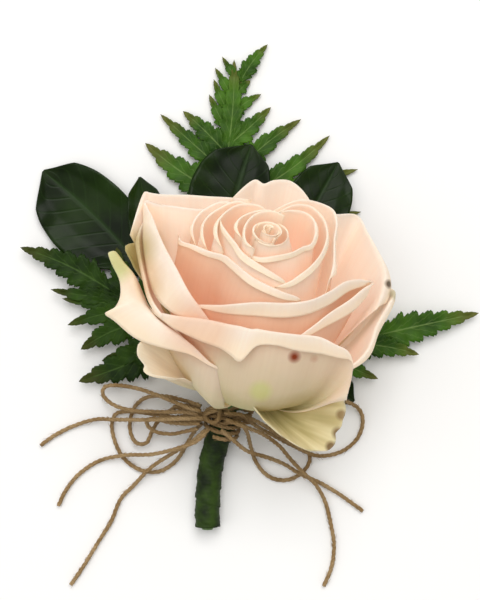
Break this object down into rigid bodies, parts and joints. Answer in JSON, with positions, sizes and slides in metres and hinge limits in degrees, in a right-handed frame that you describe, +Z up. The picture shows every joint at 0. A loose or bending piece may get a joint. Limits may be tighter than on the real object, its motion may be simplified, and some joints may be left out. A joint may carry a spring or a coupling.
{
  "type": "boutonniere",
  "caption": "Boutonniere lying on its back: a pale pink rose in front of fern fronds and dark glossy leaves, its stems taped and tied with a jute twine bow.",
  "frame": {"origin": "on the surface that the piece lies on, under the middle of the box of everything but the free twine", "axes": "+Z up from the surface; +Y from the cut stems to the top fern's tip; +X to the right, seen from above with the fern's tip away"},
  "size_m": [0.1398, 0.1661, 0.0563],
  "materials": {
    "petal": "matte",
    "rose_green": "matte",
    "dark_leaf": "satin",
    "fern_green": "matte",
    "floral_tape": "matte",
    "jute": "matte"
  },
  "bodies": {
    "root": {"rose_bloom": "petal", "rose_stem": "rose_green", "leaf_left": "dark_leaf", "leaf_left_back": "dark_leaf", "leaf_top": "dark_leaf", "leaf_top_right": "dark_leaf", "leaf_low_right": "dark_leaf", "fern_top": "fern_green", "fern_left": "fern_green", "fern_right": "fern_green", "stem_tape": "floral_tape", "twine_binding": "jute", "twine_loop_1": "jute", "twine_loop_2": "jute", "twine_loop_3": "jute", "twine_loop_4": "jute", "twine_loop_5": "jute", "twine_loop_6": "jute", "twine_tail_1": "jute", "twine_tail_2": "jute", "twine_tail_3": "jute", "twine_tail_4": "jute", "twine_tail_5": "jute"}
  },
  "joints": []
}
